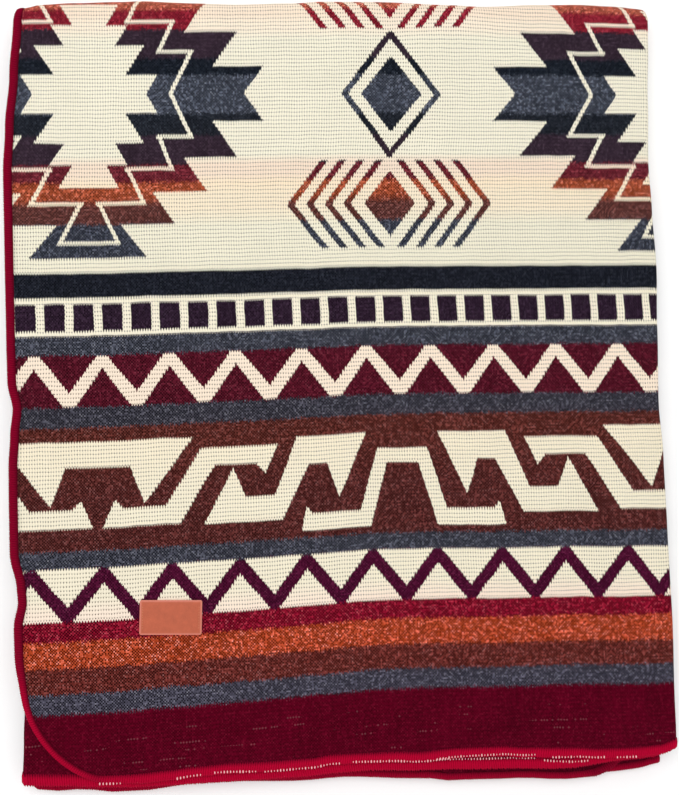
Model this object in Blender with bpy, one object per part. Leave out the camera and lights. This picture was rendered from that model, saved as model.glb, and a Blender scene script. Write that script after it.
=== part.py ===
"""Alpaca blanket, folded and laid flat.

One woven cloth of about 1.68 by 1.35 m is laid in thirds across its width, back and forth, and that pack is
turned over once along its length. Six layers lie on each other. The first layer shows on top: its selvedge is
on the left, and it turns under at the right. The second layer turns again at the left, and the third ends in
the other selvedge, inside on the right. The fold that halves the length is at the far end (+Y), and the hems
lie together at the near end. A crimson overlocked edging runs round the whole cloth.

Metres, +Z up, +Y towards the lengthwise fold, +X to the right. The origin is on the surface that it lies on,
under the middle of the pack.
"""

from bisect import bisect_right
from collections import namedtuple
from math import cos, pi, radians, sin

import bmesh
import bpy
from mathutils import Matrix, Vector

MM = 0.001

# Driving sizes
CLOTH_THICKNESS = 3.0 * MM
LAYER_PITCH = 4.4 * MM
LAYERS_IN_A_HALF = 3
GAP = 0.4 * MM
EDGING_WIDTH = 7.4 * MM
EDGING_THICKNESS = 3.5 * MM
CORNER_ALONG = 75 * MM
CORNER_ACROSS = 64 * MM
CORNER_POWER = 1.7
LABEL_SIZE = (52.8 * MM, 29.4 * MM)
LABEL_THICKNESS = 1.6 * MM
LABEL_CENTRE = (-158.2 * MM, -191.5 * MM)
LABEL_TURN = radians(-2.5)
LABEL_CORNER = 1.6 * MM
LABEL_BEVEL = 0.4 * MM

HALF_CLOTH = CLOTH_THICKNESS / 2
EDGE_ROOM = EDGING_WIDTH + GAP
MIDDLE_HEIGHT = LAYERS_IN_A_HALF * LAYER_PITCH - LAYER_PITCH / 2 + HALF_CLOTH

# How far the pack sinks at its sides, where fewer layers lie under the one on top
SINK_RUN = 28 * MM
FIRST_SINK_RIGHT = 1.1 * MM
FIRST_SINK_LEFT = 0.4 * MM
SECOND_SINK_RIGHT = 3.7 * MM
SECOND_SINK_START = 20 * MM
SECOND_SINK_END = 6 * MM
THIRD_INSET = 32 * MM

# How the hems rise off what lies under them
HEM_RISE = 0.4 * MM
UPPER_HEM_RISE = 0.3 * MM
HEM_RISE_RUN = 22 * MM
POCKET_RUN = 75 * MM

# Outlines seen from above, in millimetres: place along the side, place of the outer edge
Mark = namedtuple("Mark", "along place")


def marks(*pairs):
    return [Mark(*pair) for pair in pairs]


LEFT_EDGE = marks(
    (-340, -283.5), (-255, -286.5), (-218, -289.6), (-195, -289.9), (-174, -286.0), (-161, -286.9),
    (-132, -292.2), (-85, -292.2), (-60, -292.0), (-33, -290.3), (-10, -287.8), (14, -292.1), (51, -292.6),
    (119, -293.0), (194, -293.2), (232, -291.0), (280, -286.6), (324, -283.0), (350, -279.5),
)  # fmt: skip
LEFT_FOLD = marks(
    (-340, -285.7), (-290, -283.8), (-255, -282.3), (-174, -280.6), (-120, -285.6), (-10, -283.0),
    (51, -286.5), (194, -286.5), (280, -281.0), (340, -276.5),
)  # fmt: skip
RIGHT_FOLD = marks(
    (-340, 286.7), (-297, 287.4), (-216, 289.2), (-134, 288.4), (-64, 287.6), (-20, 285.3), (52, 287.2),
    (106, 289.0), (160, 287.0), (201, 285.5), (260, 287.5), (315, 290.2), (335, 291.2), (350, 289.6),
)  # fmt: skip
LOWER_RIGHT_FOLD = marks((-340, 268), (-150, 277), (0, 281), (200, 283), (300, 287), (340, 292))
LOWER_RIGHT_SELVEDGE = marks((-352, 275.5), (-280, 277), (-100, 273), (150, 272), (280, 264), (340, 260))
LOWER_TUCK = marks((-340, 9), (-100, 6), (150, 4), (320, 0))
TOP_FOLD = marks(
    (-281, 339.5), (-275, 342.6), (-261, 345.6), (-232, 347.3), (-194, 348.8), (-173, 349.8), (-129, 348.8),
    (-94, 348.2), (-44, 349.9), (-10, 352.0), (42, 352.3), (106, 350.5), (134, 349.4), (190, 351.8),
    (226, 352.6), (263, 351.2), (282, 350.2), (291, 349.2),
)  # fmt: skip
FIRST_HEM = marks(
    (-218, -329.4), (-187, -330.2), (-162, -328.9), (-141, -327.3), (-111, -326.2), (-79, -326.6),
    (-41, -326.0), (-24, -323.8), (28, -324.2), (54, -325.7), (84, -324.5), (125, -325.2), (150, -327.9),
    (191, -329.4), (213, -331.4), (252, -332.0), (270, -331.5), (286, -327.6),
)  # fmt: skip
SECOND_HEM = marks(
    (-285, -327.3), (-254, -329.4), (-221, -332.3), (-188, -334.2), (-111, -334.0), (-51, -334.1),
    (-25, -332.4), (7, -331.4), (63, -334.2), (119, -336.8), (185, -339.6), (214, -337.2), (232, -334.7),
    (254, -334.9), (271, -333.9), (286, -328.4),
)  # fmt: skip
LOWER_HEM = marks(
    (-277, -333.5), (-256, -335.8), (-238, -335.5), (-208, -339.6), (-176, -339.8), (-152, -336.6),
    (-111, -337.0), (-47, -339.8), (-16, -338.8), (58, -344.0), (82, -347.6), (143, -349.2), (189, -352.8),
    (231, -351.6), (252, -350.2), (276, -346.5),
)  # fmt: skip
POCKET_LIFT = marks(
    (-290, 0.2), (-60, 0.3), (0, 1.4), (40, 2.2), (90, 1.0), (135, 1.6), (200, 4.4), (235, 5.2), (262, 3.2),
    (288, 1.2),
)  # fmt: skip
THIRD_HEM_RECESS = 1.2 * MM
LOWER_SECOND_HEM_RECESS = 1.4 * MM
LOWER_FIRST_HEM_RECESS = 1.4 * MM

# Soft unevenness of the top: height, wavelength across, wavelength along, phase
Wave = namedtuple("Wave", "height across along phase")
WAVES = (
    Wave(0.45 * MM, 0.410, 0.530, 0.6),
    Wave(0.35 * MM, -0.260, 0.330, 2.1),
    Wave(0.25 * MM, 0.190, -0.240, 4.0),
)

# Where the mesh has points. A column is a layer, a share of its width and a distance from that place.
# A row is a distance from the hem.
FIRST_COLUMNS = (
    (0, 0), (0, 10), (0, 24), (0.11, 0), (0.19, 0), (0.27, 0), (0.35, 0), (0.43, 0), (0.51, 0), (0.59, 0),
    (0.67, 0), (0.75, 0), (0.83, 0), (0.90, 0), (1, -28), (1, -14), (1, -6), (1, 0),
)  # fmt: skip
SECOND_COLUMNS = (
    (1, 0), (1, -6), (1, -11), (1, -16), (0.92, 0), (0.84, 0), (0.72, 0), (0.60, 0), (0.48, 0), (0.36, 0),
    (0.24, 0), (0.12, 0), (0, 0),
)  # fmt: skip
THIRD_COLUMNS = (
    (0, 0), (0.08, 0), (0.17, 0), (0.27, 0), (0.37, 0), (0.47, 0), (0.57, 0), (0.67, 0), (0.77, 0),
    (0.86, 0), (0.94, 0), (1, 0),
)  # fmt: skip
UPPER_ROWS = (
    0, 1.5, 4.5, 9, 15, 23, 33, 45, 60, 78, 105, 134, 155, 170, 197, 232, 270, 297, 319, 342, 380, 430, 490,
    550, 610,
)  # fmt: skip
LOWER_ROWS = (0, 1.5, 4.5, 9, 15, 23, 33, 45, 60, 78, 120, 190, 280, 380, 480, 580)
SIDE_FOLD_STEPS = 6
TOP_FOLD_STEPS = 10

COLOURS = {
    # name: colour, roughness, metallic
    "cloth": ((0.80, 0.75, 0.58, 1), 0.95, 0.0),
    "edging": ((0.40, 0.008, 0.030, 1), 0.80, 0.0),
    "leather": ((0.52, 0.20, 0.10, 1), 0.55, 0.0),
}

Column = namedtuple("Column", "layer share offset turn")
Row = namedtuple("Row", "half from_hem turn")
RimPoint = namedtuple("RimPoint", "point inner in_fold")


def along(table, place):
    """A smooth line through a table's marks, in metres."""
    place = place / MM
    places = [mark.along for mark in table]
    k = min(max(bisect_right(places, place), 1), len(table) - 1)
    low, high = table[k - 1], table[k]
    t = min(max((place - low.along) / (high.along - low.along), 0), 1)
    return (low.place + (high.place - low.place) * ease(t)) * MM


def ease(t):
    t = min(max(t, 0), 1)
    return t * t * (3 - 2 * t)


def mix(a, b, t):
    return a + (b - a) * t


def corner_inset(from_hem):
    """How far a rounded corner of the cloth lies inside its selvedge, at a distance from the hem."""
    t = min(max((CORNER_ALONG - from_hem) / CORNER_ALONG, 0), 1)
    return CORNER_ACROSS * (1 - (1 - t**CORNER_POWER) ** (1 / CORNER_POWER))


def layer_height(layer, lower, from_left, from_right):
    """Height of a layer's middle over the plane between the halves. lower is 0 above and 1 below."""
    level = (LAYERS_IN_A_HALF - layer - 0.5) * LAYER_PITCH
    if layer == 0:
        level -= FIRST_SINK_LEFT * (1 - ease(from_left / SINK_RUN))
        level -= (1 - lower) * FIRST_SINK_RIGHT * (1 - ease(from_right / SINK_RUN))
    if layer == 1:
        share = (from_right - SECOND_SINK_END) / (SECOND_SINK_START - SECOND_SINK_END)
        level -= (1 - lower) * SECOND_SINK_RIGHT * (1 - ease(share))
    return level


def fold_between(layer, lower):
    """Centre height and radius of the side fold that joins a layer to the next one."""
    if layer == 0:
        top, bottom = layer_height(0, lower, 1, 0), layer_height(1, lower, 1, 0)
    else:
        top, bottom = layer_height(1, lower, 0, 1), layer_height(2, lower, 0, 1)
    return (top + bottom) / 2, (top - bottom) / 2


def side_limits(layer, lower, y, from_hem):
    """Left and right ends of a layer's middle surface at a distance along the cloth."""
    tuck = lower * along(LOWER_TUCK, y)
    right_fold = mix(along(RIGHT_FOLD, y), along(LOWER_RIGHT_FOLD, y), lower)
    right_fold -= HALF_CLOTH + fold_between(0, lower)[1]
    left_fold = along(LEFT_FOLD, y) + tuck + HALF_CLOTH + fold_between(1, lower)[1]
    if layer == 0:
        return along(LEFT_EDGE, y) + tuck + EDGE_ROOM + corner_inset(from_hem), right_fold
    if layer == 1:
        return left_fold, right_fold
    selvedge = mix(along(RIGHT_FOLD, y) - THIRD_INSET, along(LOWER_RIGHT_SELVEDGE, y), lower)
    return left_fold, selvedge - EDGE_ROOM - corner_inset(from_hem)


def hem_line(layer, half, x):
    """Where a layer of the upper or lower half ends, before its edging."""
    if half > 0:
        outer = along(FIRST_HEM if layer == 0 else SECOND_HEM, x)
        outer += THIRD_HEM_RECESS if layer == 2 else 0
    else:
        recess = (LOWER_FIRST_HEM_RECESS, LOWER_SECOND_HEM_RECESS, 0)[layer]
        outer = along(LOWER_HEM, x) + recess
    return outer + EDGE_ROOM


def across(column, lower, y, from_hem):
    """Place across and height of a column's point, as if the cloth had no lengthwise fold."""
    left, right = side_limits(column.layer, lower, y, from_hem)
    if column.turn == 0:
        x = mix(left, right, column.share) + column.offset
        return x, layer_height(column.layer, lower, x - left, right - x)
    centre, radius = fold_between(column.layer, lower)
    side = 1 if column.layer == 0 else -1
    edge = right if column.layer == 0 else left
    return edge + side * radius * sin(column.turn), centre + radius * cos(column.turn)


def hem_at(column, half):
    """The hem's line at a column, carried smoothly round a side fold from one layer to the next."""
    lower = 0 if half > 0 else 1
    x = across(column, lower, -0.330, 0)[0]
    here = hem_line(column.layer, half, x)
    if column.turn == 0:
        return here
    return mix(here, hem_line(column.layer + 1, half, x), (1 - cos(column.turn)) / 2)


def rise(half, x, from_hem):
    """How far a layer stands off its plane near the hem."""
    height = HEM_RISE * (1 - ease(from_hem / HEM_RISE_RUN))
    if half > 0:
        lift = UPPER_HEM_RISE + along(POCKET_LIFT, x)
        height += lift * (1 - ease(from_hem / POCKET_RUN))
    return height


def unevenness(x, y):
    return sum(w.height * sin(2 * pi * (x / w.across + y / w.along) + w.phase) for w in WAVES)


def cloth_point(column, row):
    """A point of the folded cloth's middle surface."""
    lower = (1 - cos(row.turn)) / 2 if row.turn else (0 if row.half > 0 else 1)
    axis = along(TOP_FOLD, across(column, lower, 0.335, 1)[0]) - MIDDLE_HEIGHT
    if row.turn:
        y, from_hem = axis + across(column, lower, axis, axis)[1] * sin(row.turn), axis
    else:
        hem = hem_at(column, row.half)
        y, from_hem = hem + row.from_hem, row.from_hem
        if row.from_hem < 0:
            y, from_hem = axis, axis - hem
    x, height = across(column, lower, y, from_hem)
    angle = row.turn if row.turn else (0 if row.half > 0 else pi)
    z = MIDDLE_HEIGHT + height * cos(angle)
    z += unevenness(x, y) * max(height * cos(angle), 0) / MIDDLE_HEIGHT
    if row.turn:
        y = axis + height * sin(angle)
    else:
        z += rise(row.half, x, from_hem)
    return Vector((x, y, z))


def turns(steps):
    return [pi * k / steps for k in range(1, steps)]


def columns():
    made = [Column(0, share, offset * MM, 0) for share, offset in FIRST_COLUMNS]
    made += [Column(0, 1, 0, turn) for turn in turns(SIDE_FOLD_STEPS)]
    made += [Column(1, share, offset * MM, 0) for share, offset in SECOND_COLUMNS]
    made += [Column(1, 0, 0, turn) for turn in turns(SIDE_FOLD_STEPS)]
    made += [Column(2, share, offset * MM, 0) for share, offset in THIRD_COLUMNS]
    return made


def rows():
    """From the hem of the upper half over the lengthwise fold to the hem of the lower half."""
    fold_line = -1
    made = [Row(1, distance * MM, 0) for distance in UPPER_ROWS]
    made += [Row(1, fold_line, 0)]
    made += [Row(0, 0, turn) for turn in turns(TOP_FOLD_STEPS)]
    made += [Row(-1, fold_line, 0)]
    made += [Row(-1, distance * MM, 0) for distance in reversed(LOWER_ROWS)]
    return made


def material(name):
    colour, roughness, metallic = COLOURS[name]
    made = bpy.data.materials.new(name)
    made.use_nodes = True
    shader = made.node_tree.nodes["Principled BSDF"]
    shader.inputs["Base Color"].default_value = colour
    shader.inputs["Roughness"].default_value = roughness
    shader.inputs["Metallic"].default_value = metallic
    return made


def object_from(bm, name, finish):
    bmesh.ops.recalc_face_normals(bm, faces=bm.faces)
    mesh = bpy.data.meshes.new(name)
    bm.to_mesh(mesh)
    bm.free()
    made = bpy.data.objects.new(name, mesh)
    bpy.context.collection.objects.link(made)
    mesh.materials.append(material(finish))
    mesh.shade_smooth()
    mesh.set_sharp_from_angle(angle=radians(50))
    return made


def folded_cloth(grid):
    """The middle surface as a grid of quads, with Solidify for the cloth's thickness."""
    bm = bmesh.new()
    points = [[bm.verts.new(point) for point in line] for line in grid]
    for line, following in zip(points, points[1:]):
        for a, b, c, d in zip(line, line[1:], following[1:], following):
            bm.faces.new((a, b, c, d))
    made = object_from(bm, "blanket", "cloth")
    thickness = made.modifiers.new("thickness", "SOLIDIFY")
    thickness.thickness = CLOTH_THICKNESS
    thickness.offset = 0
    thickness.use_even_offset = True
    return made


def rim_of(grid):
    """The cloth's edge all the way round: each point, the next point inwards, and if it lies in a fold."""
    last_row, last_column = len(grid) - 1, len(grid[0]) - 1
    path = [(0, j) for j in range(last_column)]
    path += [(i, last_column) for i in range(last_row)]
    path += [(last_row, j) for j in range(last_column, 0, -1)]
    path += [(i, 0) for i in range(last_row, 0, -1)]
    turned_rows = [row.turn > 0 for row in rows()]
    turned_columns = [column.turn > 0 for column in columns()]
    rim = []
    for i, j in path:
        inner = grid[min(max(i, 1), last_row - 1)][min(max(j, 1), last_column - 1)]
        in_fold = any(turned_rows[max(i - 1, 0) : i + 2] + turned_columns[max(j - 1, 0) : j + 2])
        rim.append(RimPoint(grid[i][j], inner, in_fold))
    return rim


def edging_section():
    """Flat towards the cloth, round outside: distance out from the cloth, height over its middle."""
    half = EDGING_THICKNESS / 2
    upper = ((0, 0.75), (0.18, 1.0), (0.62, 0.94), (0.92, 0.5))
    ring = [(GAP + out * EDGING_WIDTH, up * half) for out, up in upper]
    return ring + [(out, -up) for out, up in reversed(ring)]


def edge_binding(grid):
    """A closed loop of edging just outside the cloth's edge."""
    rim = rim_of(grid)
    bm = bmesh.new()
    rings = []
    for k, (point, inner, in_fold) in enumerate(rim):
        before, after = rim[k - 1].point, rim[(k + 1) % len(rim)].point
        run = ((point - before).normalized() + (after - point).normalized()).normalized()
        out = (point - inner).normalized()
        if not in_fold:
            out = (out - out.dot(run) * run).normalized()
        up = run.cross(out).normalized()
        rings.append([bm.verts.new(point + out * reach + up * height) for reach, height in edging_section()])
    for ring, following in zip(rings, rings[1:] + rings[:1]):
        for a, b, c, d in zip(ring, ring[1:] + ring[:1], following[1:] + following[:1], following):
            bm.faces.new((a, b, c, d))
    return object_from(bm, "edge_binding", "edging")


def top_surface(x, y):
    """Height of the top of the upper half, away from its sides."""
    return 2 * MIDDLE_HEIGHT + unevenness(x, y) * (MIDDLE_HEIGHT - HALF_CLOTH) / MIDDLE_HEIGHT


def leather_label():
    """A thin slab with small round corners, a hair above the cloth."""
    wide, high = LABEL_SIZE
    turn = Matrix.Rotation(LABEL_TURN, 4, "Z")
    base = max(
        top_surface(*(Vector(LABEL_CENTRE) + (turn @ Vector((i * wide / 4, j * high / 4, 0))).to_2d()))
        for i in range(-2, 3)
        for j in range(-2, 3)
    )
    bm = bmesh.new()
    place = Matrix.Diagonal((wide, high, LABEL_THICKNESS, 1))
    bmesh.ops.create_cube(bm, size=1, matrix=place)
    upright = [e for e in bm.edges if abs(e.verts[0].co.z - e.verts[1].co.z) > LABEL_THICKNESS / 2]
    bmesh.ops.bevel(bm, geom=upright, offset=LABEL_CORNER, segments=3, profile=0.5, affect="EDGES")
    rim = [e for e in bm.edges if all(v.co.z > 0 for v in e.verts) and len(e.link_faces) == 2]
    rim = [e for e in rim if any(abs(f.normal.z) < 0.5 for f in e.link_faces)]
    bmesh.ops.bevel(bm, geom=rim, offset=LABEL_BEVEL, segments=1, profile=0.5, affect="EDGES")
    made = object_from(bm, "leather_label", "leather")
    made.rotation_euler.z = LABEL_TURN
    made.location = (*LABEL_CENTRE, base + GAP + LABEL_THICKNESS / 2)
    return made


def centre_on_floor(pieces):
    """Moves the pieces together, so that the origin is under the middle of their box."""
    graph = bpy.context.evaluated_depsgraph_get()
    corners = []
    for piece in pieces:
        mesh = piece.evaluated_get(graph).to_mesh()
        corners += [piece.matrix_world @ vertex.co for vertex in mesh.vertices]
    low = Vector(min(corner[k] for corner in corners) for k in range(3))
    high = Vector(max(corner[k] for corner in corners) for k in range(3))
    for piece in pieces:
        piece.location -= Vector(((low.x + high.x) / 2, (low.y + high.y) / 2, low.z))


def main():
    for old in list(bpy.data.objects):
        bpy.data.objects.remove(old)
    grid = [[cloth_point(column, row) for column in columns()] for row in rows()]
    pieces = (folded_cloth(grid), edge_binding(grid), leather_label())
    bpy.context.view_layer.update()
    centre_on_floor(pieces)


main()
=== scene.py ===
from bisect import bisect_right
from collections import namedtuple
from functools import reduce
from math import cos, hypot, pi, radians, sin, sqrt
from operator import or_

import bmesh
import bpy
from mathutils import Matrix, Vector


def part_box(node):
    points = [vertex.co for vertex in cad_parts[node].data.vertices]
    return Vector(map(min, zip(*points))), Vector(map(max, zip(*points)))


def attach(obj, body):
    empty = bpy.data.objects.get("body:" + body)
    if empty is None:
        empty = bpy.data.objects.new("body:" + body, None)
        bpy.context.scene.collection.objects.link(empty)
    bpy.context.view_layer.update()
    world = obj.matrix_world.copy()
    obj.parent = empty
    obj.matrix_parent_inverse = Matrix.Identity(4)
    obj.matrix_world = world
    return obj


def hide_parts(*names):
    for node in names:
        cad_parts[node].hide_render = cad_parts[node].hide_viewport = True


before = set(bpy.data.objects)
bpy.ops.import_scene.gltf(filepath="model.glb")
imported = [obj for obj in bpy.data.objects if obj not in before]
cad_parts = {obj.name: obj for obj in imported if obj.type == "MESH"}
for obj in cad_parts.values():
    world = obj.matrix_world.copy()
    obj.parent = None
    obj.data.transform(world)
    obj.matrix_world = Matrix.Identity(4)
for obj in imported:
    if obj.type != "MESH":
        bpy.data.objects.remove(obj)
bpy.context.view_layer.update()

mm = 0.001
print("frame loaded:", sorted(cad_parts))

# Camera, floor and light

view = {
    "lens": 50,  # mm, on a sensor of 36 mm
    "place": (-0.1124, -0.0558, 0.9882),
    "turn": (0.05334, -0.10715, -0.02985),  # looks down on the pack, a little from the left and the front
}
studio = {
    "floorSize": 8.0,
    "floorDrop": 0.8 * mm,
    "floorColour": (0.95, 0.95, 0.95, 1),
    "floorGlow": 0.06,  # as a lit studio table has
    "white": (1, 1, 1, 1),
    "skyStrength": 0.85,
    "lampPlace": (-0.5, 0.5, 1.9),
    "lampSize": 1.3,
    "lampPower": 14,
}


def linked(made):
    bpy.context.scene.collection.objects.link(made)
    return made


def aimedAt(made, place, target):
    made.location = place
    made.rotation_euler = (Vector(target) - Vector(place)).to_track_quat("-Z", "Y").to_euler()


def newFinish(name, roughness, shine):
    made = bpy.data.materials.new(name)
    made.use_nodes = True
    shader = made.node_tree.nodes["Principled BSDF"]
    shader.inputs["Roughness"].default_value = roughness
    shader.inputs["Specular IOR Level"].default_value = shine
    return made, made.node_tree, shader


def makeStudio():
    camera = linked(bpy.data.objects.new("camera", bpy.data.cameras.new("camera")))
    camera.data.lens = view["lens"]
    camera.location = view["place"]
    camera.rotation_euler = view["turn"]
    camera.data.clip_start = 0.05
    bpy.context.scene.camera = camera

    lamp = linked(bpy.data.objects.new("lamp", bpy.data.lights.new("lamp", "AREA")))
    lamp.data.size = studio["lampSize"]
    lamp.data.energy = studio["lampPower"]
    aimedAt(lamp, studio["lampPlace"], (0, 0, 0))

    world = bpy.context.scene.world or bpy.data.worlds.new("world")
    bpy.context.scene.world = world
    world.use_nodes = True
    sky = world.node_tree.nodes["Background"]
    sky.inputs["Color"].default_value = studio["white"]
    sky.inputs["Strength"].default_value = studio["skyStrength"]

    bm = bmesh.new()
    bmesh.ops.create_grid(bm, x_segments=1, y_segments=1, size=studio["floorSize"] / 2)
    bmesh.ops.translate(bm, verts=bm.verts, vec=(0, 0, -studio["floorDrop"]))
    mesh = bpy.data.meshes.new("floor")
    bm.to_mesh(mesh)
    bm.free()
    floor = linked(bpy.data.objects.new("floor", mesh))
    paint, tree, shader = newFinish("floorPaint", 0.9, 0.1)
    shader.inputs["Base Color"].default_value = studio["floorColour"]
    shader.inputs["Emission Color"].default_value = studio["white"]
    shader.inputs["Emission Strength"].default_value = studio["floorGlow"]
    mesh.materials.append(paint)


makeStudio()
bpy.context.scene.view_settings.view_transform = "Standard"
print("camera, lamp and floor made")

# The folded cloth: the same folds as its solid, with more points

cloth = {
    "thickness": 3.0 * mm,
    "layerPitch": 4.4 * mm,
    "layersInAHalf": 3,
    "edgingWidth": 7.4 * mm,
    "edgingThickness": 3.5 * mm,
    "edgingGap": 0.4 * mm,
    "cornerAlong": 75 * mm,
    "cornerAcross": 64 * mm,
    "cornerPower": 1.8,
    "sinkRun": 28 * mm,
    "firstSinkRight": 1.1 * mm,
    "firstSinkLeft": 0.4 * mm,
    "secondSinkRight": 3.7 * mm,
    "secondSinkStart": 20 * mm,
    "secondSinkEnd": 6 * mm,
    "thirdInset": 32 * mm,
    "hemRise": 0.4 * mm,
    "upperHemRise": 0.3 * mm,
    "hemRiseRun": 22 * mm,
    "pocketRun": 75 * mm,
    "thirdHemRecess": 1.2 * mm,
    "lowerHemRecess": (1.4 * mm, 1.4 * mm, 0),  # of the lower half's first, second and third layer
    "lowerHemNarrower": 1.2 * mm,  # how much narrower its edging is
    "hemLevel": -330 * mm,
    "topLevel": 335 * mm,
    # Of the mesh: its columns, with those near the right fold, and its rows, with those near the hem
    "layerWidth": 560 * mm,
    "firstSpacing": 4.6 * mm,
    "hiddenSpacing": 18 * mm,
    "nearFold": (0, -3, -6, -8.5, -11, -13.5),
    "layerLength": 640 * mm,
    "nearHem": (0, 1.5, 3, 4.5, 7),
    "upperFrom": 9 * mm,
    "upperSpacing": 5.2 * mm,
    "lowerFrom": 12 * mm,
    "lowerSpacing": 6 * mm,
    "lowerFarFrom": 84 * mm,
    "lowerFarSpacing": 20 * mm,
    "sideFoldSteps": 8,
    "topFoldSteps": 14,
    "shift": (0.265 * mm, -0.355 * mm),  # puts the pack's box over the origin
}
edgeRoom = cloth["edgingWidth"] + cloth["edgingGap"]
halfCloth = cloth["thickness"] / 2
foldRadius = (cloth["layersInAHalf"] - 0.5) * cloth["layerPitch"]
middleHeight = foldRadius + halfCloth

Mark = namedtuple("Mark", "along place")
Wave = namedtuple("Wave", "height across along phase")
Column = namedtuple("Column", "layer share offset turn")
Row = namedtuple("Row", "half fromHem turn")
Crease = namedtuple("Crease", "start end half height")
foldLine = -1  # fromHem of the rows at which the lengthwise fold starts


def marks(*pairs):
    return [Mark(*pair) for pair in pairs]


# Outlines seen from above, in millimetres: place along the side, place of the outer edge
outlines = {
    "leftEdge": marks(
        (-340, -283.5), (-255, -286.5), (-218, -289.6), (-195, -289.9), (-174, -286.0), (-161, -286.9),
        (-132, -292.2), (-85, -292.2), (-60, -292.0), (-33, -290.3), (-10, -287.8), (14, -292.1),
        (51, -292.6), (119, -293.0), (194, -293.2), (232, -291.0), (280, -286.6), (324, -283.0),
        (350, -279.5)),
    "leftFold": marks(
        (-340, -285.7), (-290, -283.8), (-255, -282.3), (-174, -280.6), (-120, -285.6), (-10, -283.0),
        (51, -286.5), (194, -286.5), (280, -281.0), (340, -276.5)),
    "rightFold": marks(
        (-340, 286.7), (-297, 287.4), (-216, 289.2), (-134, 288.4), (-64, 287.6), (-20, 285.3), (52, 287.2),
        (106, 289.0), (160, 287.0), (201, 285.5), (260, 287.5), (315, 290.2), (335, 291.2), (350, 289.6)),
    "lowerRightFold": marks((-340, 277), (-150, 280), (0, 281), (200, 283), (300, 287), (340, 292)),
    "lowerRightSelvedge": marks(
        (-352, 275.5), (-280, 277), (-100, 273), (150, 272), (280, 264), (340, 260)),
    "lowerTuck": marks((-340, 9), (-100, 6), (150, 4), (320, 0)),
    "topFold": marks(
        (-281, 339.5), (-275, 342.6), (-261, 345.6), (-232, 347.3), (-194, 348.8), (-173, 349.8),
        (-129, 348.8), (-94, 348.2), (-44, 349.9), (-10, 352.0), (42, 352.3), (106, 350.5), (134, 349.4),
        (190, 351.8), (226, 352.6), (263, 351.2), (282, 350.2), (291, 349.2)),
    "firstHem": marks(
        (-218, -329.4), (-187, -330.2), (-162, -328.9), (-141, -327.3), (-111, -326.2), (-79, -326.6),
        (-41, -326.0), (-24, -323.8), (28, -324.2), (54, -325.7), (84, -324.5), (125, -325.2),
        (150, -327.9), (191, -329.4), (213, -331.4), (252, -332.0), (270, -331.5), (286, -327.6)),
    "secondHem": marks(
        (-285, -327.3), (-254, -329.4), (-221, -332.3), (-188, -334.2), (-111, -334.0), (-51, -334.1),
        (-25, -332.4), (7, -331.4), (63, -334.2), (119, -336.8), (185, -339.6), (214, -337.2),
        (232, -334.7), (254, -334.9), (271, -333.9), (286, -328.4)),
    "lowerHem": marks(
        (-277, -333.5), (-256, -335.8), (-238, -335.5), (-208, -339.6), (-176, -339.8), (-152, -336.6),
        (-111, -337.0), (-47, -339.8), (-16, -338.8), (58, -344.0), (82, -347.6), (143, -349.2),
        (189, -352.8), (231, -351.6), (252, -350.2), (276, -346.5)),
    "pocketLift": marks(
        (-290, 0.2), (-60, 0.3), (0, 1.4), (40, 2.2), (90, 1.0), (135, 1.6), (200, 4.4), (235, 5.2),
        (262, 3.2), (288, 1.2)),
}
waves = (
    Wave(0.45 * mm, 0.410, 0.530, 0.6),
    Wave(0.35 * mm, -0.260, 0.330, 2.1),
    Wave(0.25 * mm, 0.190, -0.240, 4.0),
)
# Soft ridges, and troughs with a height below 0, in millimetres
creases = (
    Crease((132, -252), (153, -318), 12, -1.2),
    Crease((160, -262), (176, -312), 14, -0.7),
    Crease((112, -262), (126, -316), 10, 0.6),
    Crease((-12, -170), (-7, -214), 9, -0.8),
    Crease((-98, -212), (-106, -300), 13, -0.8),
    Crease((-66, -238), (-64, -285), 12, 0.6),
    Crease((-266, -240), (-250, -292), 14, 0.9),
    Crease((238, -205), (246, -262), 11, -0.7),
    Crease((-262, -60), (-196, -72), 12, -0.6),
    Crease((196, 40), (268, 52), 12, -0.6),
)


def ease(t):
    t = min(max(t, 0), 1)
    return t * t * (3 - 2 * t)


def mix(a, b, t):
    return a + (b - a) * t


def along(table, place):  # a smooth line through a table's marks, in metres
    place = place / mm
    places = [mark.along for mark in table]
    k = min(max(bisect_right(places, place), 1), len(table) - 1)
    low, high = table[k - 1], table[k]
    t = min(max((place - low.along) / (high.along - low.along), 0), 1)
    return (low.place + (high.place - low.place) * ease(t)) * mm


def cornerInset(fromHem):  # how far a rounded corner lies inside its selvedge
    t = min(max((cloth["cornerAlong"] - fromHem) / cloth["cornerAlong"], 0), 1)
    power = cloth["cornerPower"]
    return cloth["cornerAcross"] * (1 - (1 - t**power) ** (1 / power))


def layerHeight(layer, lower, fromLeft, fromRight):  # over the plane between the halves; lower is 0 or 1
    level = (cloth["layersInAHalf"] - layer - 0.5) * cloth["layerPitch"]
    if layer == 0:
        level -= cloth["firstSinkLeft"] * (1 - ease(fromLeft / cloth["sinkRun"]))
        level -= (1 - lower) * cloth["firstSinkRight"] * (1 - ease(fromRight / cloth["sinkRun"]))
    if layer == 1:
        share = (fromRight - cloth["secondSinkEnd"]) / (cloth["secondSinkStart"] - cloth["secondSinkEnd"])
        level -= (1 - lower) * cloth["secondSinkRight"] * (1 - ease(share))
    return level


def foldBetween(layer, lower):  # centre height and radius of the side fold after a layer
    if layer == 0:
        top, bottom = layerHeight(0, lower, 1, 0), layerHeight(1, lower, 1, 0)
    else:
        top, bottom = layerHeight(1, lower, 0, 1), layerHeight(2, lower, 0, 1)
    return (top + bottom) / 2, (top - bottom) / 2


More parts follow.
